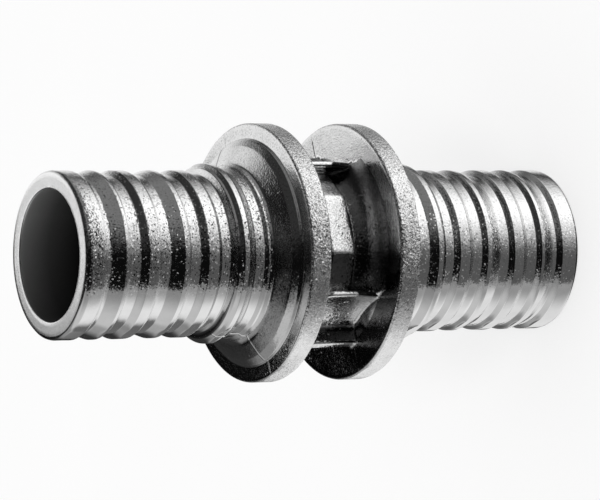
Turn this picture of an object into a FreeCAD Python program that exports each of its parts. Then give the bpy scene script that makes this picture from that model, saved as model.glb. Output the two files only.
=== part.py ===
import FreeCAD, Part
import math
import os
from FreeCAD import Vector

# Straight coupling for cross-linked polyethylene pipe, forged in one piece.
# A ribbed spigot points out of each end, with a collar and a smooth neck behind the ribs.
# Two thick flanges face each other across a gap, where a short tube, a ring with two flats,
# two side walls and two webs join them. One bore runs through from end to end.
# The bore axis is Z, the origin is the centre of the lower end face. Millimetres, degrees.

# Overall sizes
overall_length = 87.2
bore_diameter = 20.0

# Spigot: crests and valleys, measured from the free end
crest_diameter = 25.5
valley_depth = 0.7
nose_bevel = 0.6
nose_land = 3.1
nose_fall = 1.1
last_valley = 0.45

# Pairs of ribs, as shares of the pitch: a long ramp to a sharp crest, then a short ramp to a
# wide crest. The pitch is what the spigot's length leaves for them.
rib_pairs = 2
long_ramp_share = 0.24
short_ramp_start_share = 0.51
short_ramp_share = 0.09
wide_crest_share = 0.18
crest_fall_share = 0.085

# Collar behind the ribs, and the neck that runs from it to the flange
collar_flank = 0.45
collar_ledge_diameter = 26.3
collar_ledge = 0.9
collar_diameter = 27.6
collar_land = 0.8
collar_slope = 1.8
neck_diameter = 26.1
neck_length = 2.25

# Flanges: plain rim, flat outer border, raised disc and a cone down to the neck
flange_gap = 12.2
flange_diameter = 40.0
flange_thickness = 3.55
rim_bevel = 0.4
disc_diameter = 34.9
disc_height = 0.65
cone_height = 1.95
neck_fillet = 0.5

# Between the flanges: tube and the ring round its middle, with one flat at the front and back
tube_diameter = 24.0
ring_diameter = 26.4
ring_width = 4.2
ring_flats_across = 24.8

# Side walls and webs between the flanges: each "across" is a width along the parting plane,
# and the walls' fronts are distances square to it
wall_inside_across = 20.3
wall_outside_across = 22.2
wall_root_across = 25.6
wall_front = 10.7
wall_front_at_flange = 9.9
web_across = 31.0
web_thickness = 2.0
flare_radius = 2.2
flare_chords = 3

# Flats where the forging flash was trimmed off, and the turn of the parting plane about Z
spigot_trim_across = 25.32
collar_trim_across = 27.0
flange_trim_across = 39.8
parting_turn = 20.5

# Depth to which the joining pieces reach into the flanges and the tube, and how far they stay
# from the bore
sink = 0.6
bore_clearance = 0.1

half_length = overall_length / 2
bore_radius = bore_diameter / 2
crest_radius = crest_diameter / 2
valley_radius = crest_radius - valley_depth
neck_radius = neck_diameter / 2
tube_radius = tube_diameter / 2
flange_radius = flange_diameter / 2
disc_radius = disc_diameter / 2
gap_face = flange_gap / 2
flange_face = gap_face + flange_thickness
disc_face = flange_face + disc_height
cone_foot = disc_face + cone_height
neck_foot = cone_foot + neck_fillet

# What the overall length leaves for the ribs behind each nose
collar_length = collar_flank + collar_ledge + collar_land + collar_slope
collar_start = half_length - neck_foot - neck_length - collar_length
first_pair = nose_land + nose_fall
pair_pitch = (collar_start - last_valley - first_pair) / rib_pairs
axis_foot = Vector(0, 0, 0)
axis = Vector(0, 0, 1)


def turned(outline):
    """Solid turned about Z from (radius, height) points of a closed outline."""
    points = [Vector(radius, 0, height) for radius, height in outline]
    points.append(points[0])
    return Part.Face(Part.makePolygon(points)).revolve(axis_foot, axis, 360)


def spigot_outline():
    """Points from the end face to the last valley, as (radius, distance from the free end)."""
    outline = [
        (bore_radius, 0),
        (crest_radius - nose_bevel, 0),
        (crest_radius, nose_bevel),
        (crest_radius, nose_land),
    ]
    crest_fall = crest_fall_share * pair_pitch
    for pair in range(rib_pairs):
        start = first_pair + pair * pair_pitch
        sharp = start + long_ramp_share * pair_pitch
        short = start + short_ramp_start_share * pair_pitch
        wide = short + short_ramp_share * pair_pitch
        wide_end = wide + wide_crest_share * pair_pitch
        outline += [
            (valley_radius, start),
            (crest_radius, sharp),
            (valley_radius, sharp + crest_fall),
            (valley_radius, short),
            (crest_radius, wide),
            (crest_radius, wide_end),
            (valley_radius, wide_end + crest_fall),
        ]
    return outline


def collar_outline():
    """Points of the collar, up to where its back slope meets the neck."""
    ledge = collar_start + collar_flank
    land = ledge + collar_ledge
    slope = land + collar_land
    return [
        (valley_radius, collar_start),
        (collar_ledge_diameter / 2, ledge),
        (collar_diameter / 2, land),
        (collar_diameter / 2, slope),
        (neck_radius, slope + collar_slope),
    ]


def flange_outline():
    """Points from the neck over the flange to the tube, as (radius, height above the middle)."""
    return [
        (neck_radius, neck_foot),
        (neck_radius + neck_fillet, cone_foot),
        (disc_radius, disc_face),
        (disc_radius, flange_face),
        (flange_radius - rim_bevel, flange_face),
        (flange_radius, flange_face - rim_bevel),
        (flange_radius, gap_face),
        (tube_radius, gap_face),
    ]


def turned_body():
    """Everything that is round about the bore axis, centred on the middle of the gap."""
    upper = [(radius, half_length - depth) for radius, depth in spigot_outline() + collar_outline()]
    upper += flange_outline()
    lower = [(radius, -height) for radius, height in reversed(upper)]
    return turned(upper + lower)


def middle_ring():
    """Ring round the tube, with one flat on the front and one on the back."""
    outer = ring_diameter / 2
    inner = tube_radius - sink
    half = ring_width / 2
    ring = turned([(inner, -half), (outer, -half), (outer, half), (inner, half)])
    between_walls = wall_inside_across + sink
    corner = Vector(-ring_flats_across / 2, -between_walls / 2, -gap_face)
    return ring.common(Part.makeBox(ring_flats_across, between_walls, flange_gap, corner))


def flared_section(inner, outer):
    """(distance, height) points of a wall that flares into both flanges on its outer side."""
    buried = gap_face + sink
    flare = []
    for step in range(flare_chords + 1):
        angle = math.pi / 2 * step / flare_chords
        distance = outer + flare_radius * (1 - math.sin(angle))
        height = gap_face - flare_radius * (1 - math.cos(angle))
        flare.append((distance, height))
    upper = [(inner, buried), (flare[0][0], buried)] + flare
    lower = [(distance, -height) for distance, height in reversed(upper)]
    return upper + lower


def section_wire(side, section):
    """Wire of a section that stands square to X at the given distance."""
    points = [Vector(side, distance, height) for distance, height in section]
    points.append(points[0])
    return Part.makePolygon(points)


def side_wall():
    """Half of one side wall, tapering from the parting plane to its free front edge."""
    inner = wall_inside_across / 2
    root = section_wire(0, flared_section(inner, wall_root_across / 2))
    front = section_wire(wall_front, flared_section(inner, wall_outside_across / 2))
    wall = Part.makeLoft([root, front], True, True)
    buried = gap_face + sink
    crown = ring_width / 2
    edge = [
        (0, -buried),
        (wall_front_at_flange, -buried),
        (wall_front_at_flange, -gap_face),
        (wall_front, -crown),
        (wall_front, crown),
        (wall_front_at_flange, gap_face),
        (wall_front_at_flange, buried),
        (0, buried),
    ]
    points = [Vector(front_edge, 0, height) for front_edge, height in edge]
    points.append(points[0])
    blank = Part.Face(Part.makePolygon(points)).extrude(Vector(0, flange_radius, 0))
    return wall.common(blank)


def parting_web():
    """Web that stands out from a side wall in the parting plane, flared into both flanges."""
    section = flared_section(tube_radius - sink, web_across / 2)
    web = Part.Face(section_wire(-web_thickness / 2, section))
    return web.extrude(Vector(web_thickness, 0, 0))


def bridge():
    """Ring, walls and webs between the flanges, clear of the bore. The parting plane is YZ here."""
    wall = side_wall()
    other_half = wall.mirror(axis_foot, Vector(1, 0, 0))
    pieces = [middle_ring()]
    for piece in (wall, other_half, parting_web()):
        opposite = piece.copy()
        opposite.rotate(axis_foot, axis, 180)
        pieces += [piece, opposite]
    bore = Part.makeCylinder(bore_radius + bore_clearance, overall_length, Vector(0, 0, -half_length))
    return [piece.cut(bore) for piece in pieces]


def trim_band(across, low, high):
    """What lies outside two flats square to Y, between two heights above the middle."""
    reach = flange_diameter
    band = Part.makeBox(2 * reach, 2 * reach, high - low, Vector(-reach, -reach, low))
    kept = Part.makeBox(2 * reach, across, high - low, Vector(-reach, -across / 2, low))
    return band.cut(kept)


def trimmed(body):
    """Body with the small flats that the trimmed flash left on spigots, collars and flanges."""
    collar_height = half_length - collar_start
    bands = [
        (spigot_trim_across, collar_height, half_length),
        (collar_trim_across, cone_foot, collar_height),
        (flange_trim_across, gap_face, flange_face),
    ]
    for across, low, high in bands:
        body = body.cut(trim_band(across, low, high))
        body = body.cut(trim_band(across, -high, -low))
    return body


def coupling():
    """The whole forging, with its parting plane turned and its lower end at the origin."""
    body = turned_body().fuse(bridge())
    body = trimmed(body).removeSplitter()
    body.rotate(axis_foot, axis, parting_turn - 90)
    body.translate(Vector(0, 0, half_length))
    return body


os.makedirs("parts", exist_ok=True)
shape = coupling()
print("valid", shape.isValid(), "solids", len(shape.Solids), "faces", len(shape.Faces))
print("volume cm3", round(shape.Volume / 1000, 3), "box", shape.BoundBox)
shape.exportStep("parts/coupling_body.step")
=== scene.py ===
import itertools
import math

import bpy
import numpy as np
from mathutils import Matrix, Vector


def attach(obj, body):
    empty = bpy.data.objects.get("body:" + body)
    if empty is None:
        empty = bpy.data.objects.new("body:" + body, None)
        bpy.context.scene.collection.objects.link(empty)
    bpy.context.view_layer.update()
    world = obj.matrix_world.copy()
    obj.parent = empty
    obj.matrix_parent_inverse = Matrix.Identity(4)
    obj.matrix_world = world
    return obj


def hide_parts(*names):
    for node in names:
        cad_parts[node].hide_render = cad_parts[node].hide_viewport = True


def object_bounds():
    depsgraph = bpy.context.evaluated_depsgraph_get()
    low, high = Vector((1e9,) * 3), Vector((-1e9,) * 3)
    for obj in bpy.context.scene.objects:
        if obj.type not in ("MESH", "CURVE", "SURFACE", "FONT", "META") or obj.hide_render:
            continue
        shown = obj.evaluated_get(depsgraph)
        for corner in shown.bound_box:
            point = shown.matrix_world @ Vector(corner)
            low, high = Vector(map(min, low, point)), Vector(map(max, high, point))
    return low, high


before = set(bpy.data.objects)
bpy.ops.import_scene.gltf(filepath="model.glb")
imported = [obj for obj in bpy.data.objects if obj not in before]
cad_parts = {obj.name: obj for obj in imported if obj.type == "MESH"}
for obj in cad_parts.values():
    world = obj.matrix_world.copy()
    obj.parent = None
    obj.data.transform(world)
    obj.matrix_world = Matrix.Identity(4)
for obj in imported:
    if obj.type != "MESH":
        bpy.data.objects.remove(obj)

cad_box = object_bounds()

# The forging is rebuilt here with the roundings, the trimmed flats, the parting line and the cast
# unevenness that its solid leaves out. Lengths are millimetres until a mesh is made. The meshes are
# made in the forging's own frame: s along the bore from the middle of the gap, q along the parting
# plane and p square to it, so that p points out of the two dies.
MM = 0.001
PARTING_TURN = math.radians(20.5 - 90)
HALF_LENGTH = round((cad_box[1][2] - cad_box[0][2]) / MM / 2, 3)

# Radii of the turned surfaces. The flange stays a hair inside the solid's.
BORE = 10.0
CREST = 12.75
VALLEY = 12.03
COLLAR = 13.8
NECK = 13.08
FLANGE_INSET = 0.005
FLANGE = round(cad_box[1][0] / MM, 3) - FLANGE_INSET

# Half the gap between the flanges, and the radius where their faces in it are finely divided from
GAP_FACE = 6.1
FINE_FACE_FROM = 18.6

# One spigot, collar and neck, from the bore's mouth inwards: radius, distance from the free end,
# and how much the corner is rounded
SPIGOT = [
    (BORE, 0.0, 0.22),
    (CREST, 0.0, 0.62),
    (CREST, 3.1, 0.22),
    (VALLEY, 3.85, 0.2),
    (VALLEY, 4.4, 0.6),
    (CREST, 6.5, 0.2),
    (CREST, 6.98, 0.12),
    (VALLEY, 7.6, 0.16),
    (VALLEY, 9.4, 0.3),
    (CREST, 10.35, 0.3),
    (CREST, 12.1, 0.2),
    (VALLEY, 12.8, 0.18),
    (VALLEY, 14.35, 0.6),
    (CREST, 16.4, 0.2),
    (CREST, 17.1, 0.12),
    (VALLEY, 17.8, 0.18),
    (VALLEY, 19.45, 0.3),
    (CREST, 20.4, 0.3),
    (CREST, 22.2, 0.2),
    (VALLEY, 23.0, 0.18),
    (VALLEY, 24.65, 0.3),
    (13.1, 25.15, 0.2),
    (13.25, 25.5, 0.15),
    (COLLAR, 26.0, 0.16),
    (COLLAR, 26.8, 0.12),
    (NECK, 28.15, 0.7),
    (13.1, 29.75, 0.15),
    (13.45, 30.25, 0.1),
    (13.48, 30.55, 0.1),
]

# The flange, from the neck to the gap: radius, distance from the middle, rounding
FLANGE_OUTLINE = [
    (13.62, 12.5, 0.6),
    (16.5, 10.98, 1.1),
    (17.5, 10.15, 0.35),
    (17.6, 9.66, 0.2),
    (19.45, 9.62, 0.3),
    (FLANGE, 9.58, 0.4),
    (FLANGE, GAP_FACE, 0.45),
    (19.15, GAP_FACE, 0.1),
]

# The tube hidden inside the bridge
HIDDEN_TUBE = 11.0

# Longest runs between the points of an outline and points per rounding, in sight and out of it
VISIBLE_RUN = 0.5
BORE_RUN = 4.0
HIDDEN_RUN = 3.9
ARC_POINTS = 4
HIDDEN_ARC_POINTS = 2

# Height of a point in each half of the bore, and depth where its finely divided mouth starts
BORE_POINT = 20.0
FINE_MOUTH = 1.2

# Corners that are nearly straight aren't rounded, and a rounding takes up less than half a run
STRAIGHT_HALF_ANGLE = math.radians(88.5)
ROUNDING_ROOM = 0.49

# Steps between the points round the axis, in degrees: finest at the parting line, fine on the
# trimmed flats and growing from there on
RIDGE_STEP = 0.34
RIDGE_STEP_TO = 1.2
FLAT_STEP = 0.62
FLAT_STEP_TO = 9
STEP_GROWTH = 1.25
WIDEST_STEP = 2.4

# Cast unevenness: seed, number of waves, longest, shortest, and height. Then the most turns that a
# wave makes round the axis and the range of its phase. The unevenness is on what is wider than the
# radius, between the two depths from the free end.
UNEVENNESS = [
    (3, 9, 16.0, 5.0, 0.012),
    (8, 9, 5.0, 2.5, 0.006),
]
MOST_TURNS = 8
FULL_PHASE = 6.283
UNEVEN_FROM_RADIUS = CREST - 1.2
UNEVEN_FROM = 0.05
UNEVEN_TO = 30.0

# How far |q| may reach where the flash was trimmed off, the depths where each trim starts, how soft
# its edge is, and an exponent that doesn't overflow
SPIGOT_TRIM = 12.66
COLLAR_TRIM = 13.5
FLANGE_TRIM = 19.9
COLLAR_TRIM_FROM = 24.65
FLANGE_TRIM_FROM = 31.3
TRIM_SOFTNESS = 0.025
SAFE_EXPONENT = 30

# The thin ridge of the parting line on the necks, cones and flange faces: its size, its radii, the
# height from the middle where the outer side starts, and the depths where necks end and cones start
RIDGE_HALF_WIDTH = 0.11
RIDGE_HEIGHT = 0.08
RIDGE_FROM_RADIUS = CREST + 0.15
RIDGE_TO_RADIUS = 19.6
OUTER_SIDE_FROM = 9.0
NECK_TO = 31.2
CONE_FROM = 31.0

# What counts as a flange's face inside the gap
INNER_FACE_TO = GAP_FACE + 0.01
INNER_FACE_FROM_RADIUS = HIDDEN_TUBE + 0.5

# A darker line along the parting plane, on the upper side only
SEAM_HALF_WIDTH = 0.1
SEAM_FROM_RADIUS = CREST + 0.2
SEAM_TO_RADIUS = 19.8
SEAM_FROM = 28.5

# Below this height across the picture the flange faces inside the gap get the darker metal: painted shade
GAP_SHADE_BELOW = -3.0

# Places in the list of the turned body's materials; the last is darker metal for painted shade and for the
# seam line
CAST, RIM, END, BORE_WALL, EDGE, FACE, SHADE_AND_SEAM = range(7)

# Where the rim, the end face, the bore's edge and its wall start or end, as radii, heights from the
# middle and depths from the free end
RIM_FROM_RADIUS = 19.75
RIM_FROM = GAP_FACE + 0.1
END_TO = 0.09
EDGE_TO = 0.3
EDGE_TO_RADIUS = BORE + 0.2
BORE_WALL_FROM = 0.15
BORE_WALL_TO_RADIUS = BORE + 0.05

# The bridge between the flanges: tube, ring with its flats, side walls and webs
TUBE = 12.0
RING = 13.2
RING_HALF_WIDTH = 2.1
RING_FLAT = 12.4
RING_SHOULDER = 12.72
SHOULDER_TURN = math.radians(36)
RING_IN_WALL = 0.5
WALL_INSIDE = 10.15
WALL_OUTSIDE = 11.1
WALL_ROOT = 13.2
WALL_BEND = 6.0
WALL_FRONT = 10.7
WALL_FRONT_DROP = 0.8
WEB_HALF_THICKNESS = 1.0
WEB_REACH = 15.5
FRONT_FLARE = 4.8
FRONT_FLARE_ACROSS = 10.8
FRONT_FLARE_FROM = 4.0
OUTER_FLARE = 0.5

# Its roundings on edges and its fillets between pieces
RING_EDGE = 0.4
FLAT_EDGE = 0.15
WALL_EDGE = 0.25
WALL_FRONT_EDGE = 0.35
WEB_EDGE = 0.45
FLARE_EDGE = 0.3
BEND_ROUNDING = 0.8
RING_FILLET = 0.35
WALL_FILLET = 0.45
WEB_FILLET = 0.7

# How far the bridge's flares end inside the flanges, how far it reaches into them and into the hidden
# tube, and its largest radius
PLATE_LIFT = 0.006
SINK = 0.4
OUTERMOST = 17.9

# The grid that the bridge is made on, and how its points settle on the surface
GRID_STEP = 0.27
GRID_REACH = 18.3
GRID_HALF_HEIGHT = 6.75
SLOPE_STEP = 0.02
LEAST_SLOPE = 0.2
SETTLING_ROUNDS = 3

# Where the bridge gets the darker metal as painted shade: in front between the ring and the flanges, on
# the tube, between the walls below a height across the picture, and in a strip of such heights
SHADED_FRONT_TO = FRONT_FLARE_ACROSS - 0.2
SHADED_FRONT_FROM = RING_HALF_WIDTH + 0.05
SHADED_TUBE_TO = TUBE + 0.2
SHADED_INSIDE_TO = WALL_INSIDE - 0.3
BRIDGE_SHADE_BELOW = -0.3
SHADED_STRIP = (-13.6, -11.2)


def arc_points(before, corner, after, radius, count):
    """Points of the arc that rounds a corner of an outline."""
    to_before = (before - corner) / np.linalg.norm(before - corner)
    to_after = (after - corner) / np.linalg.norm(after - corner)
    half = math.acos(max(-1.0, min(1.0, float(to_before @ to_after)))) / 2
    if radius <= 0 or half > STRAIGHT_HALF_ANGLE:
        return [corner]
    room = ROUNDING_ROOM * min(np.linalg.norm(before - corner), np.linalg.norm(after - corner))
    tangent = min(radius / math.tan(half), room)
    radius = tangent * math.tan(half)
    middle = to_before + to_after
    middle /= np.linalg.norm(middle)
    centre = corner + middle * radius / math.sin(half)
    start = corner + to_before * tangent - centre
    end = corner + to_after * tangent - centre
    points = []
    for share in np.linspace(0, 1, count):
        along = start * (1 - share) + end * share
        points.append(centre + along / np.linalg.norm(along) * radius)
    return points


def rounded_outline(corners, arc_count, longest):
    """Outline through (radius, s, rounding) corners, with long runs divided."""
    places = [np.array(corner[:2], float) for corner in corners]
    points = [places[0]]
    for index in range(1, len(places) - 1):
        before, corner, after = places[index - 1:index + 2]
        points += arc_points(before, corner, after, corners[index][2], arc_count)
    points.append(places[-1])
    divided = [points[0]]
    for point in points[1:]:
        begin = divided[-1]
        run = point - begin
        parts = max(1, math.ceil(np.linalg.norm(run) / longest))
        divided += [begin + run * part / parts for part in range(1, parts + 1)]
    return np.array(divided)


def half_outline():
    """Outline of the upper half from the middle of the bore to the middle of the hidden tube."""
    bore = [(BORE, 0.0, 0), (BORE, BORE_POINT, 0), (BORE, HALF_LENGTH - FINE_MOUTH, 0)]
    spigot = [(radius, HALF_LENGTH - depth, rounding) for radius, depth, rounding in SPIGOT]
    face = (FINE_FACE_FROM, GAP_FACE, 0)
    gap = [face, (HIDDEN_TUBE, GAP_FACE, 0), (HIDDEN_TUBE, 0.0, 0)]
    inside = rounded_outline(bore, HIDDEN_ARC_POINTS, BORE_RUN)
    corners = [bore[-1]] + spigot + FLANGE_OUTLINE + [face]
    outside = rounded_outline(corners, ARC_POINTS, VISIBLE_RUN)
    behind = rounded_outline(gap, HIDDEN_ARC_POINTS, HIDDEN_RUN)
    return np.vstack([inside, outside[1:], behind[1:]])


def ring_angles():
    """Angles from +p round the axis, closer together near the parting line at 90 and 270 degrees."""
    offsets = [0.0]
    step = RIDGE_STEP
    while offsets[-1] < 90:
        offsets.append(offsets[-1] + step)
        if offsets[-1] > FLAT_STEP_TO:
            step = min(step * STEP_GROWTH, WIDEST_STEP)
        elif offsets[-1] > RIDGE_STEP_TO:
            step = FLAT_STEP
    offsets = np.array(offsets) * 90 / offsets[-1]
    quarter = np.radians(offsets)
    right = np.pi / 2 - quarter[:0:-1]
    left = np.pi / 2 + quarter[:-1]
    half = np.concatenate([right, left])
    return np.concatenate([half, half + np.pi])


def soft_limit(value, limit, softness):
    """value, or limit where value would pass it, with a small rounding between the two."""
    over = np.clip((value - limit) / softness, -SAFE_EXPONENT, SAFE_EXPONENT)
    return value - softness * np.log1p(np.exp(over))


def waves(angle, s, seed, count, longest, shortest):
    """Smooth unevenness over the turned surface, about 1 high, from waves in seeded directions."""
    random = np.random.default_rng(seed)
    total = np.zeros(np.broadcast(angle, s).shape)
    for _ in range(count):
        length = shortest * (longest / shortest) ** random.random()
        turns = random.integers(1, MOST_TURNS + 1)
        pitch = 2 * np.pi / length
        total += np.sin(turns * angle + pitch * s * random.choice([-1, 1]) + random.random() * FULL_PHASE)
    return total / math.sqrt(count)


def picture_height(p, q):
    """X of the row frame in millimetres, which is the height across the picture."""
    return p * math.cos(PARTING_TURN) - q * math.sin(PARTING_TURN)


def to_row_frame(p, q, s):
    """Points of the row frame in metres from the forging's own frame in millimetres."""
    y = p * math.sin(PARTING_TURN) + q * math.cos(PARTING_TURN)
    return np.stack([picture_height(p, q), y, s + HALF_LENGTH], axis=-1) * MM


def mesh_object(name, points, faces, materials, face_material):
    """New smooth-shaded mesh object from arrays of points and quads."""
    mesh = bpy.data.meshes.new(name)
    mesh.from_pydata(points.reshape(-1, 3).tolist(), [], faces.tolist())
    for material in materials:
        mesh.materials.append(material)
    mesh.polygons.foreach_set("material_index", np.asarray(face_material, np.int32))
    mesh.polygons.foreach_set("use_smooth", np.ones(len(faces), bool))
    mesh.update()
    piece = bpy.data.objects.new(name, mesh)
    bpy.context.scene.collection.objects.link(piece)
    return piece


def uneven_radius(radius, angle, s):
    """Radius of the turned surface, with the cast unevenness on spigots and collars."""
    depth = HALF_LENGTH - np.abs(s)
    uneven = 0
    for seed, count, longest, shortest, height in UNEVENNESS:
        uneven = uneven + waves(angle, s, seed, count, longest, shortest) * height
    cast = (radius > UNEVEN_FROM_RADIUS) & (depth > UNEVEN_FROM) & (depth < UNEVEN_TO)
    return radius + np.where(cast, uneven, 0)


def trimmed(q, depth):
    """q, held to the flats where the flash was trimmed off."""
    limit = np.where(depth < FLANGE_TRIM_FROM, COLLAR_TRIM, FLANGE_TRIM)
    limit = np.where(depth < COLLAR_TRIM_FROM, SPIGOT_TRIM, limit)
    return np.sign(q) * soft_limit(np.abs(q), limit, TRIM_SOFTNESS)


def ring_skins(outline):
    """Which material each ring of faces of the turned body has, by its place on the outline."""
    radius, s = ((outline + np.roll(outline, -1, axis=0)) / 2).T
    depth = HALF_LENGTH - np.abs(s)
    skin = np.full(len(outline), CAST)
    skin[(radius > RIM_FROM_RADIUS) & (np.abs(s) > RIM_FROM)] = RIM
    skin[(depth < END_TO) & (radius < CREST)] = END
    skin[(depth < EDGE_TO) & (radius < EDGE_TO_RADIUS)] = EDGE
    skin[(depth > BORE_WALL_FROM) & (radius < BORE_WALL_TO_RADIUS)] = BORE_WALL
    skin[(skin == CAST) & (depth > CONE_FROM)] = FACE
    return skin


def turned_body(materials):
    """Everything that is round about the bore, as one closed mesh."""
    upper = half_outline()
    lower = upper[::-1][1:-1] * np.array([1, -1])
    outline = np.vstack([upper, lower])
    angle = ring_angles()[None, :]
    s = outline[:, 1][:, None]
    depth = HALF_LENGTH - np.abs(s)
    radius = uneven_radius(outline[:, 0][:, None], angle, s)
    p = radius * np.cos(angle)
    q = trimmed(radius * np.sin(angle), depth)

    inner_face = (np.abs(s) < INNER_FACE_TO) & (radius > INNER_FACE_FROM_RADIUS)
    outer_side = np.abs(s) > OUTER_SIDE_FROM
    ridge = np.exp(-((p / RIDGE_HALF_WIDTH) ** 2))
    ridge = ridge * (radius > RIDGE_FROM_RADIUS) * (radius < RIDGE_TO_RADIUS)
    lift = RIDGE_HEIGHT * ridge
    on_cone = np.where(outer_side & (depth > CONE_FROM), lift, 0)
    s = s + np.sign(s) * (on_cone - np.where(inner_face, lift, 0))
    q = q + np.sign(q) * np.where(outer_side & (depth < NECK_TO), lift, 0)

    skin = np.repeat(ring_skins(outline)[:, None], angle.size, axis=1)
    # Painted shade on the flange faces low in the gap
    skin[inner_face & (picture_height(p, q) < GAP_SHADE_BELOW)] = SHADE_AND_SEAM
    raised = (radius > SEAM_FROM_RADIUS) & (radius < SEAM_TO_RADIUS) & (depth > SEAM_FROM)
    skin[raised & (np.abs(p) < SEAM_HALF_WIDTH) & (q > 0)] = SHADE_AND_SEAM

    index = np.arange(q.size).reshape(q.shape)
    after = np.roll(index, -1, axis=0)
    faces = np.stack([index, after, np.roll(after, -1, axis=1), np.roll(index, -1, axis=1)], axis=-1)
    return mesh_object("turned_body", to_row_frame(p, q, s), faces.reshape(-1, 4), materials, skin.ravel())


def rounded_union(a, b, radius):
    """Two distance fields joined, with a fillet of the radius between them."""
    fillet = np.hypot(np.maximum(radius - a, 0), np.maximum(radius - b, 0))
    return np.maximum(radius, np.minimum(a, b)) - fillet


def rounded_common(a, b, radius):
    """What two distance fields share, with its edge rounded to the radius."""
    return -rounded_union(-a, -b, radius)


def ring_field(radius, across, along, height):
    """Distance field of the ring round the tube, with its flats and their sloping shoulders."""
    ring = rounded_common(radius - RING, height - RING_HALF_WIDTH, RING_EDGE)
    ring = rounded_common(ring, across - RING_FLAT, FLAT_EDGE)
    shoulder = across * math.cos(SHOULDER_TURN) + along * math.sin(SHOULDER_TURN) - RING_SHOULDER
    ring = rounded_common(ring, shoulder, FLAT_EDGE)
    return np.maximum(ring, along - WALL_INSIDE - RING_IN_WALL)


def wall_field(across, along, height):
    """Distance field of the side walls, which bend outwards and thicken towards the webs."""
    taper = (WALL_ROOT - WALL_OUTSIDE) / WALL_BEND
    slant = (along - WALL_ROOT + taper * across) / math.hypot(1, taper)
    outer_face = rounded_union(along - WALL_OUTSIDE, slant, BEND_ROUNDING)
    fall = np.clip((height - RING_HALF_WIDTH) / (GAP_FACE - RING_HALF_WIDTH), 0, 1)
    wall = rounded_common(outer_face, WALL_INSIDE - along, WALL_EDGE)
    return rounded_common(wall, across - WALL_FRONT + WALL_FRONT_DROP * fall, WALL_FRONT_EDGE)


def bridge_field(p, q, s):
    """Distance field of the bridge, negative inside the metal."""
    radius = np.hypot(p, q)
    across, along, height = np.abs(p), np.abs(q), np.abs(s)
    web = rounded_common(across - WEB_HALF_THICKNESS, along - WEB_REACH, WEB_EDGE)
    web = np.maximum(web, HIDDEN_TUBE - along)
    body = rounded_union(radius - TUBE, ring_field(radius, across, along, height), RING_FILLET)
    body = rounded_union(body, wall_field(across, along, height), WALL_FILLET)
    body = rounded_union(body, web, WEB_FILLET)
    plate = GAP_FACE + PLATE_LIFT - height
    body = rounded_union(body, plate, OUTER_FLARE)
    front_flare = rounded_union(radius - TUBE, plate, FRONT_FLARE)
    front_flare = rounded_common(front_flare, along - FRONT_FLARE_ACROSS, FLARE_EDGE)
    front_flare = np.maximum(front_flare, FRONT_FLARE_FROM - across)
    body = np.minimum(body, front_flare)
    limits = np.maximum(radius - OUTERMOST, HIDDEN_TUBE - SINK - radius)
    limits = np.maximum(limits, height - GAP_FACE - SINK)
    return np.maximum(body, limits)


def neighbours(axis, rest):
    """Indices of a grid's points and of their next ones along an axis, with rest for the other axes."""
    start = [rest] * 3
    end = [rest] * 3
    start[axis] = slice(0, -1)
    end[axis] = slice(1, None)
    return tuple(start), tuple(end)


def crossed_cells(values):
    """Which cells of a grid the surface crosses, and the mean of their crossed edges in cell units."""
    inside = values < 0
    cells = tuple(n - 1 for n in values.shape)
    sums = np.zeros(cells + (3,))
    counts = np.zeros(cells)
    for axis in range(3):
        others = [other for other in range(3) if other != axis]
        start, end = neighbours(axis, slice(None))
        crossed = inside[start] != inside[end]
        share = np.where(crossed, values[start] / np.where(crossed, values[start] - values[end], 1), 0)
        for corner in itertools.product((0, 1), repeat=2):
            part = [slice(None)] * 3
            for other, one in zip(others, corner):
                part[other] = slice(one, cells[other] + one)
            hit = crossed[tuple(part)]
            counts += hit
            sums[..., axis] += share[tuple(part)]
            for other, one in zip(others, corner):
                sums[..., other] += hit * one
    used = counts > 0
    return used, np.argwhere(used) + sums[used] / counts[used][:, None]


def cell_faces(inside, used):
    """Quads between the points of used cells, one for each grid edge that the surface crosses."""
    number = np.full(used.shape, -1)
    number[used] = np.arange(used.sum())
    faces = []
    for axis in range(3):
        others = [(axis + 1) % 3, (axis + 2) % 3]
        start, end = neighbours(axis, slice(1, -1))
        first, second = inside[start], inside[end]
        for inward, hit in ((False, first & ~second), (True, ~first & second)):
            place = np.argwhere(hit)
            place[:, others] += 1
            corners = []
            for back in ((1, 1), (0, 1), (0, 0), (1, 0)):
                cell = place.copy()
                cell[:, others] -= back
                corners.append(number[tuple(cell.T)])
            quads = np.stack(corners, axis=1)
            faces.append(quads[:, ::-1] if inward else quads)
    return np.vstack(faces)


def settled(points, field, farthest):
    """Points moved along a field's slope onto its zero surface, not far in each round."""
    for _ in range(SETTLING_ROUNDS):
        value = field(*points.T)
        slope = []
        for axis in range(3):
            shift = np.zeros(3)
            shift[axis] = SLOPE_STEP
            rise = field(*(points + shift).T) - field(*(points - shift).T)
            slope.append(rise / (2 * SLOPE_STEP))
        slope = np.stack(slope, axis=1)
        length = np.maximum((slope ** 2).sum(axis=1), LEAST_SLOPE)
        move = slope * (value / length)[:, None]
        points = points - np.clip(move, -farthest, farthest)
    return points


def surface_of(field, high, step):
    """Closed mesh of quads on the zero surface of a distance field, in a box about the origin."""
    low = [-edge for edge in high]
    axes = [np.arange(a, b + step, step) for a, b in zip(low, high)]
    values = field(*np.meshgrid(*axes, indexing="ij"))
    used, places = crossed_cells(values)
    points = settled(np.array(low) + step * places, field, step / 2)
    return points, cell_faces(values < 0, used)


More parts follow.
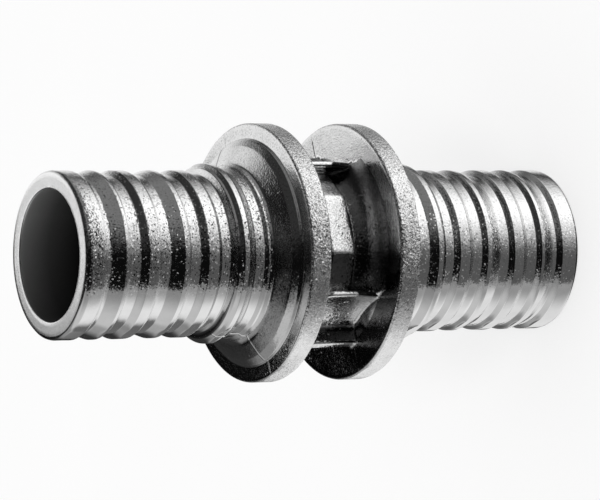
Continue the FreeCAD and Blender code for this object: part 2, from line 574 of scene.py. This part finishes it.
def bridge(materials):
    """Tube, ring, walls and webs between the flanges, with their fillets, as one closed mesh."""
    points, faces = surface_of(bridge_field, (GRID_REACH, GRID_REACH, GRID_HALF_HEIGHT), GRID_STEP)
    p, q, s = points[faces].mean(axis=1).T
    height = picture_height(p, q)
    # Painted shade: these faces of the bridge get the darker metal
    painted_shade = (np.abs(p) > FRONT_FLARE_FROM) & (np.abs(q) < SHADED_FRONT_TO) & (np.abs(s) > SHADED_FRONT_FROM)
    painted_shade |= np.hypot(p, q) < SHADED_TUBE_TO
    painted_shade |= (height < BRIDGE_SHADE_BELOW) & (np.abs(q) < SHADED_INSIDE_TO)
    painted_shade |= (height > SHADED_STRIP[0]) & (height < SHADED_STRIP[1])
    return mesh_object("bridge", to_row_frame(*points.T), faces, materials, painted_shade.astype(int))


class NodeTree:
    """The nodes of one new material, with short calls for those that are used here."""

    def __init__(self, name):
        self.material = bpy.data.materials.new(name)
        self.material.use_nodes = True
        self.nodes = self.material.node_tree.nodes
        self.links = self.material.node_tree.links
        self.nodes.clear()
        self.output = self.nodes.new("ShaderNodeOutputMaterial")
        self.place = self.node("TexCoord")["Object"]

    def node(self, kind, inputs=None, **settings):
        """Outputs of a new node with these settings, its inputs linked to sockets or set to values."""
        made = self.nodes.new("ShaderNode" + kind)
        for setting, value in settings.items():
            setattr(made, setting, value)
        for key, value in (inputs or {}).items():
            if isinstance(value, bpy.types.NodeSocket):
                self.links.new(value, made.inputs[key])
            else:
                made.inputs[key].default_value = value
        return made.outputs

    def show(self, surface):
        """Makes a shader the material's surface."""
        self.links.new(surface, self.output.inputs["Surface"])

    def maths(self, operation, *values):
        """Result of a maths node on sockets or numbers."""
        return self.node("Math", dict(enumerate(values)), operation=operation)["Value"]

    def vector_maths(self, operation, *values):
        """Result of a vector maths node on sockets or number triples."""
        return self.node("VectorMath", dict(enumerate(values)), operation=operation)["Vector"]

    def times(self, *values):
        """Product of sockets or numbers."""
        total = values[0]
        for value in values[1:]:
            total = self.maths("MULTIPLY", total, value)
        return total

    def parts(self, vector):
        """X, Y and Z of a vector."""
        return self.node("SeparateXYZ", {"Vector": vector})

    def noise(self, size, detail=2.0, roughness=0.55):
        """Noise whose bumps are about size millimetres across."""
        inputs = {"Scale": 1 / (size * MM), "Detail": detail, "Roughness": roughness, "Vector": self.place}
        return self.node("TexNoise", inputs)["Fac"]

    def ramp(self, value, levels, greys):
        """Ramp that has these greys at these levels of the value."""
        made = self.nodes.new("ShaderNodeValToRGB")
        elements = made.color_ramp.elements
        while len(elements) < len(levels):
            elements.new(0.5)
        for element, level, grey in zip(elements, levels, greys):
            element.position = level
            element.color = (grey, grey, grey, 1)
        self.links.new(value, made.inputs["Fac"])
        return made.outputs["Color"]

    def share_along(self, value, span, low):
        """Share that grows from low to 1 over a span in millimetres."""
        inputs = {"From Min": span[0] * MM, "From Max": span[1] * MM, "To Min": low, "Value": value}
        return self.node("MapRange", inputs)["Result"]

    def edge(self, value, start, end):
        """Soft step of a value: 0 at start and 1 at end."""
        inputs = {"From Min": start, "From Max": end, "Value": value}
        return self.node("MapRange", inputs, interpolation_type="SMOOTHSTEP")["Result"]


# The casting is grainy on one side, smoother on the other and towards its lower end: spans of X and
# Z in millimetres, and the share of the grain that is left
SMOOTH_SIDE = (-6.5, -3.0)
FINE_SIDE = (10.5, 4.5)
FINE_SIDE_GRAIN = 0.4
FINE_END = (8.0, 40.0)
FINE_END_GRAIN = 0.55

# Sizes of the patches where the plating's colour and gloss change, and the levels of noise between
# which colour, gloss and the painted shade in the grain's pits change
CLOUD_SIZE = 3.1
GLOSS_PATCH = 0.9
PATCH_DETAIL = 3.0
CLOUD_LEVELS = (0.32, 0.68)
GLOSS_LEVELS = (0.3, 0.7)
HOLLOW_SHADE_LEVELS = (0.28, 0.48)
GRAIN_ROUGHNESS = 0.6

# Share of the facets that are between plain and glittering
GLITTER_BLEND = 0.12

# How the bore darkens from its mouths inwards and towards the low side: painted shade, inwards also duller
# plating
BORE_FADE = 14
BORE_LEVELS = (0.0, 0.35, 0.8)
BORE_GREYS = (0.46, 0.17, 0.015)
BORE_SHADED_SIDE = (-9.0, 6.0)
BORE_SHADED_SHARE = 0.25


def tilted_facets(tree, normal, amount, size, tilt, plain_share, glitter):
    """Normal with small flat facets: each leans a little at random, and a few lean far."""
    cells = tree.node("TexVoronoi", {"Scale": 1 / (size * MM), "Vector": tree.place})
    lean = tree.vector_maths("SUBTRACT", cells["Color"], (0.5, 0.5, 0.5))
    chance = tree.node("TexWhiteNoise", {"Vector": cells["Position"]})["Value"]
    reach = tree.ramp(chance, (plain_share, plain_share + GLITTER_BLEND), (tilt, glitter))
    lean = tree.vector_maths("MULTIPLY", lean, reach)
    lean = tree.vector_maths("MULTIPLY", lean, amount)
    return tree.vector_maths("NORMALIZE", tree.vector_maths("ADD", normal, lean))


def cast_colour(tree, colours, grains, hollow_shade, share):
    """Grey that drifts between two colours, with painted shade in the pits of the grain."""
    inputs = {
        "Factor": share,
        "A": tree.ramp(tree.noise(CLOUD_SIZE, PATCH_DETAIL), CLOUD_LEVELS, colours),
        # Painted shade: the grain's pits darken the colour
        "B": tree.ramp(grains, HOLLOW_SHADE_LEVELS, (hollow_shade, 1.0)),
    }
    return tree.node("Mix", inputs, data_type="RGBA", blend_type="MULTIPLY")["Result"]


def bore_shade_colour(tree):
    """Painted shade: grey that falls off from both mouths of the bore inwards, with duller plating inside,
    and towards its low side.
    """
    x, _, z = tree.parts(tree.place)
    from_middle = tree.maths("ABSOLUTE", tree.maths("SUBTRACT", z, HALF_LENGTH * MM))
    inward = tree.share_along(from_middle, (HALF_LENGTH, HALF_LENGTH - BORE_FADE), 0.0)
    shaded_side = tree.share_along(x, BORE_SHADED_SIDE, BORE_SHADED_SHARE)
    return tree.vector_maths("MULTIPLY", tree.ramp(inward, BORE_LEVELS, BORE_GREYS), shaded_side)


def plated_metal(name, colours, gloss, grain, hollow_shade, swell, facets, smooth_side, metallic=1.0):
    """Satin plated metal. Without colours it has the bore's grey with its painted shade.

    colours and gloss are ranges, and the hollow shade is what the painted shade in the grain's pits leaves
    of the colour. grain and swell are bumps, each a size and a depth in millimetres. facets are those of
    tilted_facets, and smooth_side is the share of the grain that is left on the smooth side.
    """
    tree = NodeTree(name)
    x, _, z = tree.parts(tree.place)
    rough_side = tree.share_along(x, SMOOTH_SIDE, smooth_side)
    fine_side = tree.share_along(x, FINE_SIDE, FINE_SIDE_GRAIN)
    fine_end = tree.share_along(z, FINE_END, FINE_END_GRAIN)
    grains = tree.noise(grain[0], roughness=GRAIN_ROUGHNESS)
    normal = tree.node("Bump", {
        "Strength": 1.0,
        "Distance": swell[1] * MM,
        "Height": tree.noise(swell[0], detail=1.0),
    })["Normal"]
    normal = tree.node("Bump", {
        "Strength": rough_side,
        "Distance": grain[1] * MM,
        "Height": grains,
        "Normal": normal,
    })["Normal"]
    leaning = tree.times(rough_side, fine_side, fine_end)
    if colours:
        colour = cast_colour(tree, colours, grains, hollow_shade, rough_side)
    else:
        colour = bore_shade_colour(tree)
    tree.show(tree.node("BsdfPrincipled", {
        "Metallic": metallic,
        "Base Color": colour,
        "Roughness": tree.ramp(tree.noise(GLOSS_PATCH, PATCH_DETAIL), GLOSS_LEVELS, gloss),
        "Normal": tilted_facets(tree, normal, leaning, **facets),
    })["BSDF"])
    return tree.material


FAINT_FACETS = {"size": 0.3, "tilt": 0.02, "plain_share": 0.9, "glitter": 0.05}

cast_metal = plated_metal(
    "cast_metal",
    colours=(0.80, 0.87),
    gloss=(0.06, 0.12),
    grain=(0.30, 0.03),
    hollow_shade=0.8,
    swell=(2.4, 0.02),
    facets={"size": 0.20, "tilt": 0.11, "plain_share": 0.72, "glitter": 0.62},
    smooth_side=0.03,
)
face_metal = plated_metal(
    "face_metal",
    colours=(0.76, 0.82),
    gloss=(0.09, 0.14),
    grain=(0.30, 0.035),
    hollow_shade=0.7,
    swell=(2.4, 0.02),
    facets={"size": 0.22, "tilt": 0.08, "plain_share": 0.90, "glitter": 0.35},
    smooth_side=0.35,
)
# Darker metal that paints shade in the gap and on the bridge, and colours the seam line
shade_and_seam_metal = plated_metal(
    "shade_and_seam_metal",
    colours=(0.18, 0.25),
    gloss=(0.10, 0.16),
    grain=(0.24, 0.04),
    hollow_shade=0.6,
    swell=(2.4, 0.02),
    facets={"size": 0.24, "tilt": 0.1, "plain_share": 0.85, "glitter": 0.6},
    smooth_side=0.6,
)
bridge_metal = plated_metal(
    "bridge_metal",
    colours=(0.82, 0.89),
    gloss=(0.11, 0.18),
    grain=(0.30, 0.05),
    hollow_shade=0.75,
    swell=(2.4, 0.03),
    facets={"size": 0.24, "tilt": 0.12, "plain_share": 0.85, "glitter": 0.5},
    smooth_side=0.8,
)
rim_metal = plated_metal(
    "rim_metal",
    colours=(0.86, 0.94),
    gloss=(0.20, 0.30),
    grain=(0.30, 0.15),
    hollow_shade=0.3,
    swell=(2.4, 0.02),
    facets={"size": 0.26, "tilt": 0.28, "plain_share": 0.7, "glitter": 0.75},
    smooth_side=0.3,
)
end_metal = plated_metal(
    "end_metal",
    colours=(0.90, 0.96),
    gloss=(0.18, 0.26),
    grain=(0.3, 0.016),
    hollow_shade=0.99,
    swell=(3.0, 0.01),
    facets=FAINT_FACETS,
    smooth_side=0.5,
)
edge_metal = plated_metal(
    "edge_metal",
    colours=(0.92, 0.97),
    gloss=(0.25, 0.35),
    grain=(0.4, 0.01),
    hollow_shade=0.98,
    swell=(3.0, 0.01),
    facets=FAINT_FACETS,
    smooth_side=0.5,
)
bore_metal = plated_metal(
    "bore_metal",
    colours=None,
    gloss=(0.42, 0.5),
    grain=(0.4, 0.02),
    hollow_shade=None,
    swell=(4.0, 0.02),
    facets=FAINT_FACETS,
    smooth_side=0.5,
    metallic=0.7,
)

skin = [cast_metal, rim_metal, end_metal, bore_metal, edge_metal, face_metal, shade_and_seam_metal]
for piece in (turned_body(skin), bridge([bridge_metal, shade_and_seam_metal])):
    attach(piece, "root")
    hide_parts("coupling_body")
    print(piece.name, "faces", len(piece.data.polygons), "points", len(piece.data.vertices))

# The camera of the photograph: it looks 30 degrees down on the standing coupling and is rolled a
# quarter turn, so that the coupling lies across the picture
VIEW_TURN = 1.04407308
VIEW_ROLL = -0.0127776611
FOCAL_PIXELS = 3705.5
OBJECT_CENTRE = (0.1247, 0.3513, 576.043)
SENSOR_WIDTH = 36.0
PICTURE_WIDTH = 600

# Light of the room, the floor's greys in patches, and how much of it is glow where it is seen
ROOM_LIGHT = 0.9
FLOOR_REACH = 3.0
FLOOR_PATCH = 60.0
FLOOR_LEVELS = (0.3, 0.7)
FLOOR_GREYS = (0.93, 0.95)
PAPER_GLOW = 0.6

# The dome that the metal reflects, and the glow that its flat faces mirror: how bright, where and
# how steeply its lower limit falls, and how much dimmer the end ring's foot and top see it
DOME_RADIUS = 0.17
DARKEST = 0.002
TO_CAMERA = (0.0, -0.866, 0.5)
BEHIND_GLOW = 0.93
LIMIT_BEND = 0.54
LIMIT_FALL = 2.2
FOOT_DIMMING = 0.5
TOP_DIMMING = 0.34

# The soft lamp above the camera
LAMP_SIZE = 0.3
LAMP_WATTS = 3.0
LAMP_PLACE = (0.0, -0.75, 1.1)


def picture_camera():
    """Camera that sees the coupling as the photograph does."""
    axis = Vector((
        math.sin(VIEW_TURN) * math.cos(VIEW_ROLL),
        math.sin(VIEW_TURN) * math.sin(VIEW_ROLL),
        math.cos(VIEW_TURN),
    ))
    up = Vector((0, -1, 0))
    up = (up - axis * up.dot(axis)).normalized()
    side = axis.cross(up)
    right, down, ahead = (Vector((up[i], -side[i], -axis[i])) for i in range(3))
    offset = right * OBJECT_CENTRE[0] + down * OBJECT_CENTRE[1] + ahead * OBJECT_CENTRE[2]
    camera = bpy.data.objects.new("camera", bpy.data.cameras.new("camera"))
    camera.data.sensor_width = SENSOR_WIDTH
    camera.data.lens = FOCAL_PIXELS * SENSOR_WIDTH / PICTURE_WIDTH
    camera.data.clip_start = 0.01
    camera.data.clip_end = 20
    turned = Matrix((right, -down, -ahead)).transposed().to_4x4()
    camera.matrix_world = Matrix.Translation((Vector((0, 0, HALF_LENGTH)) - offset) * MM) @ turned
    bpy.context.scene.collection.objects.link(camera)
    bpy.context.scene.camera = camera


def white_room():
    """Plain white world."""
    world = bpy.data.worlds.new("room")
    bpy.context.scene.world = world
    world.use_nodes = True
    background = world.node_tree.nodes["Background"].inputs
    background["Color"].default_value = (1, 1, 1, 1)
    background["Strength"].default_value = ROOM_LIGHT


def paper_floor():
    """Pale floor that partly glows like paper where it is seen, so that it runs into the room."""
    tree = NodeTree("floor_paint")
    paint = tree.node("BsdfPrincipled", {
        "Roughness": 0.8,
        "Specular IOR Level": 0.2,
        "Base Color": tree.ramp(tree.noise(FLOOR_PATCH), FLOOR_LEVELS, FLOOR_GREYS),
    })["BSDF"]
    ray = tree.node("LightPath")
    seen = tree.maths("MAXIMUM", ray["Is Camera Ray"], ray["Is Glossy Ray"])
    seen = tree.maths("MAXIMUM", seen, ray["Is Transmission Ray"])
    paper = tree.node("Emission")["Emission"]
    tree.show(tree.node("MixShader", {"Fac": tree.times(seen, PAPER_GLOW), 1: paint, 2: paper})["Shader"])
    mesh = bpy.data.meshes.new("floor")
    signs = ((-1, -1), (1, -1), (1, 1), (-1, 1))
    mesh.from_pydata([(x * FLOOR_REACH, y * FLOOR_REACH, 0) for x, y in signs], [], [(0, 1, 2, 3)])
    mesh.materials.append(tree.material)
    paper_sheet = bpy.data.objects.new("floor", mesh)
    bpy.context.scene.collection.objects.link(paper_sheet)
    paper_sheet.visible_glossy = False
    return paper_sheet


def dome_glow(tree):
    """How strongly the dome glows in each direction, as a sum of soft cards on black.

    turn is the direction about the bore axis in degrees, 0 towards the camera and 90 up in the
    picture. z is along the axis. lean is how much a surface leans along the bore when the camera
    sees this part of the dome in it.
    """
    direction = tree.vector_maths("NORMALIZE", tree.place)
    x, y, z = tree.parts(direction)
    turn = tree.times(tree.maths("ARCTAN2", x, tree.times(y, -1.0)), 180 / math.pi)
    facing = tree.vector_maths("NORMALIZE", tree.vector_maths("ADD", direction, TO_CAMERA))
    lean = tree.parts(facing)[2]
    edge = tree.edge

    def card(level, *edges):
        """Glow of a card of that level between soft edges, each a coordinate with its start and end."""
        glow = level
        for along, start, end in edges:
            glow = tree.times(edge(along, start, end), glow)
        return glow

    past_bend = tree.maths("MAXIMUM", tree.maths("ADD", z, -LIMIT_BEND), 0.0)
    limit = edge(tree.maths("ADD", x, tree.times(past_bend, LIMIT_FALL)), 0.03, 0.09)
    below = tree.times(edge(y, 0.5, 0.68), edge(x, 0.005, -0.005), edge(z, 0.5, 0.56))
    behind = tree.maths("MAXIMUM", edge(turn, 118, 148), below)
    above_foot = tree.maths("ADD", tree.times(edge(x, -0.09, 0.0), FOOT_DIMMING), 1 - FOOT_DIMMING)
    near_top = tree.times(edge(x, 0.02, 0.07), edge(x, 0.108, 0.094), -TOP_DIMMING)
    below_top = tree.maths("ADD", near_top, 1.0)
    glows = [
        # Upper side: the lands, then the highest of the lands and of the slopes
        card(1.33, (turn, -10, 60), (turn, 135, 60), (z, -0.14, -0.19)),
        card(0.90, (turn, 128, 160), (turn, 180, 160), (z, -0.25, -0.40)),
        card(0.90, (turn, 128, 160), (turn, 180, 172), (z, -0.40, -0.25), (z, 0.40, 0.30)),
        # Flat faces of the ends and flanges
        tree.times(
            behind, limit, edge(z, 0.30, 0.40), edge(z, 0.95, 0.74), above_foot, below_top, BEHIND_GLOW),
        # Upper side: long ramps, what lies between them and the lands, and short ramps
        card(0.19, (turn, 3, 48), (turn, 150, 110), (lean, 0.26, 0.32), (lean, 0.59, 0.52)),
        card(0.15, (turn, 30, 85), (turn, 150, 110), (z, -0.19, -0.14), (lean, 0.32, 0.26)),
        card(0.03, (turn, 3, 25), (turn, 150, 110), (lean, 0.52, 0.59), (lean, 0.88, 0.80)),
        # Lower side: a step and a slow rise over all that doesn't lean away, and more for the lands
        card(0.26, (turn, -42, -49), (turn, -112, -101), (z, -0.56, -0.50), (z, 0.9, 0.8)),
        card(0.32, (turn, -50, -85), (turn, -112, -101), (z, -0.56, -0.50), (z, 0.9, 0.8)),
        card(0.30, (turn, -52, -80), (turn, -112, -92), (z, -0.60, -0.50), (z, -0.12, -0.2)),
        # Lower side of what leans towards the far end: again a step and a slow rise
        card(0.28, (turn, -46, -52), (turn, -165, -145), (z, -0.50, -0.56)),
        card(0.52, (turn, -56, -100), (turn, -165, -145), (z, -0.50, -0.56)),
        # Lowest side: lands, long ramps, and short ramps in two parts
        card(0.86, (turn, -101, -112), (turn, -165, -145), (z, -0.56, -0.50), (z, -0.39, -0.42)),
        card(0.14, (turn, -101, -112), (turn, -170, -150), (z, -0.42, -0.39), (lean, 0.55, 0.45)),
        card(0.26, (turn, -101, -112), (turn, -142, -122), (lean, 0.3, 0.4), (lean, 0.9, 0.84)),
        card(0.03, (turn, -112, -128), (lean, 0.45, 0.55), (lean, 0.9, 0.84)),
        # Towards the camera: a faint glow on the lands and a wider one
        card(0.055, (turn, -70, -42), (turn, 15, -10), (lean, 0.24, 0.17)),
        card(0.04, (turn, -70, -40), (turn, 40, 10), (z, -0.10, -0.22)),
    ]
    level = DARKEST
    for glow in glows:
        level = tree.maths("ADD", level, glow)
    return tree.maths("ADD", tree.times(level, edge(z, -0.96, -0.88)), DARKEST)


def light_dome():
    """Flags and soft cards round the object, seen only in its reflections, as in a studio for metal."""
    tree = NodeTree("flags")
    tree.show(tree.node("Emission", {"Strength": dome_glow(tree)})["Emission"])
    tree.material.cycles.emission_sampling = "NONE"
    middle = (0, 0, HALF_LENGTH * MM)
    bpy.ops.mesh.primitive_uv_sphere_add(segments=64, ring_count=32, radius=DOME_RADIUS, location=middle)
    dome = bpy.context.object
    dome.name = "flags"
    dome.data.materials.append(tree.material)
    for ray in ("camera", "diffuse", "transmission", "volume_scatter", "shadow"):
        setattr(dome, "visible_" + ray, False)
    return dome


def soft_lamp():
    """One soft lamp high on the camera's side: the shadow falls away behind the coupling."""
    lamp = bpy.data.objects.new("lamp", bpy.data.lights.new("lamp", "AREA"))
    lamp.data.shape = "DISK"
    lamp.data.size = LAMP_SIZE
    lamp.data.energy = LAMP_WATTS
    lamp.location = LAMP_PLACE
    lamp.rotation_euler = (Vector((0, 0, 0)) - lamp.location).to_track_quat("-Z", "Y").to_euler()
    lamp.visible_glossy = False
    bpy.context.scene.collection.objects.link(lamp)


picture_camera()
white_room()
floor = paper_floor()
flags = light_dome()
soft_lamp()

bpy.context.scene.view_settings.view_transform = "Standard"
